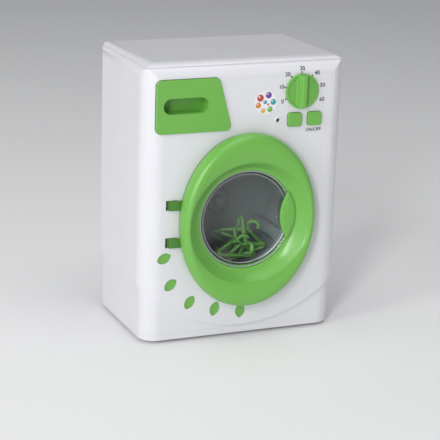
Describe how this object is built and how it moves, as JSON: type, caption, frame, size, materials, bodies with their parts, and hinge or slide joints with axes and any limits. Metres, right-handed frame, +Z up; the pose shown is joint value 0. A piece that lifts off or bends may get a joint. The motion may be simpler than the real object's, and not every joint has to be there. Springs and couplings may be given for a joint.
{
  "type": "toy washing machine",
  "caption": "Toy front-loading washing machine: oval window door on a side hinge, pull-out drawer, programme knob, push buttons and a geared, battery-driven drum in a white casing.",
  "frame": {"origin": "middle of the bounding box on the surface that the feet stand on", "axes": "+Z up, -Y out of the front with the door, +X to the right seen from the front"},
  "size_m": [0.18, 0.136, 0.238],
  "materials": {
    "white_plastic": "smooth moulded gloss white",
    "green_plastic": "moulded gloss apple green",
    "clear_plastic": "clear polished moulding",
    "grey_plastic": "plain moulded grey",
    "black_plastic": "plain moulded black",
    "rubber": "soft matt grey",
    "sticker": "glossy printed label",
    "lamp_clear": "clear lamp lens",
    "lamp_dark": "dark lamp lens",
    "bush_bronze": "sintered bronze",
    "steel": "plain zinc plated",
    "cell_wrap": "printed sleeve without lettering",
    "board_green": "circuit board",
    "gear_plastic": "natural acetal",
    "lead_insulation": "soft insulation"
  },
  "bodies": {
    "casing": {"front_shell": "white_plastic", "rear_shell": "white_plastic", "top_cover": "white_plastic", "base_tray": "white_plastic", "feet": "rubber", "vent_insert": "green_plastic", "badge": "sticker", "porthole_collar": "white_plastic", "drum_lamp": "lamp_clear", "drum_frame": "grey_plastic", "frame_screws": "steel", "drum_bush": "bush_bronze", "gear_cover": "grey_plastic", "gear_cover_screws": "steel", "gear_axle": "steel", "motor_can": "steel", "motor_end_cap": "black_plastic", "motor_strap": "grey_plastic", "battery_box": "black_plastic", "battery_cells": "cell_wrap", "battery_contacts": "steel", "battery_cover": "white_plastic", "battery_cover_screw": "steel", "control_board": "board_green", "board_screws": "steel", "rotary_switch": "black_plastic", "button_switches": "black_plastic", "indicator_lamp": "lamp_dark", "drawer_guide": "white_plastic", "case_screws": "steel", "hinge_pins": "steel", "latch_keeper": "steel", "wiring": "lead_insulation"},
    "door": {"door_ring": "green_plastic", "door_inner_ring": "green_plastic", "door_window": "clear_plastic", "door_grip": "green_plastic", "door_screws": "steel"},
    "drawer": {"drawer_front": "green_plastic", "drawer_tray": "white_plastic", "drawer_screws": "steel"},
    "knob": {"knob": "green_plastic", "knob_shaft": "steel"},
    "button_left": {"button_left": "green_plastic"},
    "button_right": {"button_right": "green_plastic"},
    "drum": {"drum_shell": "white_plastic", "drum_front_ring": "white_plastic", "drum_lifters": "white_plastic", "drum_shaft": "steel", "drum_gear": "gear_plastic", "drum_nut": "steel", "hangers": "green_plastic"},
    "reduction_gear": {"reduction_gear": "gear_plastic"},
    "motor_rotor": {"motor_pinion": "gear_plastic", "motor_shaft": "steel"}
  },
  "joints": [
    {"name": "door_hinge", "type": "hinge", "parent": "casing", "child": "door", "pos_m": [-0.0655, -0.05, 0.105], "axis": [0, 0, -1], "range_deg": [0, 100]},
    {"name": "drawer_slide", "type": "slide", "parent": "casing", "child": "drawer", "axis": [0, -1, 0], "range_m": [0, 0.06]},
    {"name": "knob_turn", "type": "hinge", "parent": "casing", "child": "knob", "pos_m": [0.0477, -0.052, 0.2107], "axis": [0, 1, 0], "range_deg": [-114, 114]},
    {"name": "button_left_press", "type": "slide", "parent": "casing", "child": "button_left", "axis": [0, 1, 0], "range_m": [0, 0.0015], "stiffness_N_per_m": 200},
    {"name": "button_right_press", "type": "slide", "parent": "casing", "child": "button_right", "axis": [0, 1, 0], "range_m": [0, 0.0015], "stiffness_N_per_m": 200},
    {"name": "drum_spin", "type": "hinge", "parent": "casing", "child": "drum", "pos_m": [0, 0, 0.105], "axis": [0, 1, 0], "continuous": true},
    {"name": "reduction_spin", "type": "hinge", "parent": "casing", "child": "reduction_gear", "pos_m": [0.0198, 0.02, 0.1248], "axis": [0, 1, 0], "continuous": true},
    {"name": "motor_spin", "type": "hinge", "parent": "casing", "child": "motor_rotor", "pos_m": [0.0198, 0.03, 0.1472], "axis": [0, 1, 0], "continuous": true}
  ],
  "couplings": [
    {"joint": "reduction_spin", "follows": "drum_spin", "ratio": -4},
    {"joint": "motor_spin", "follows": "drum_spin", "ratio": 12}
  ]
}
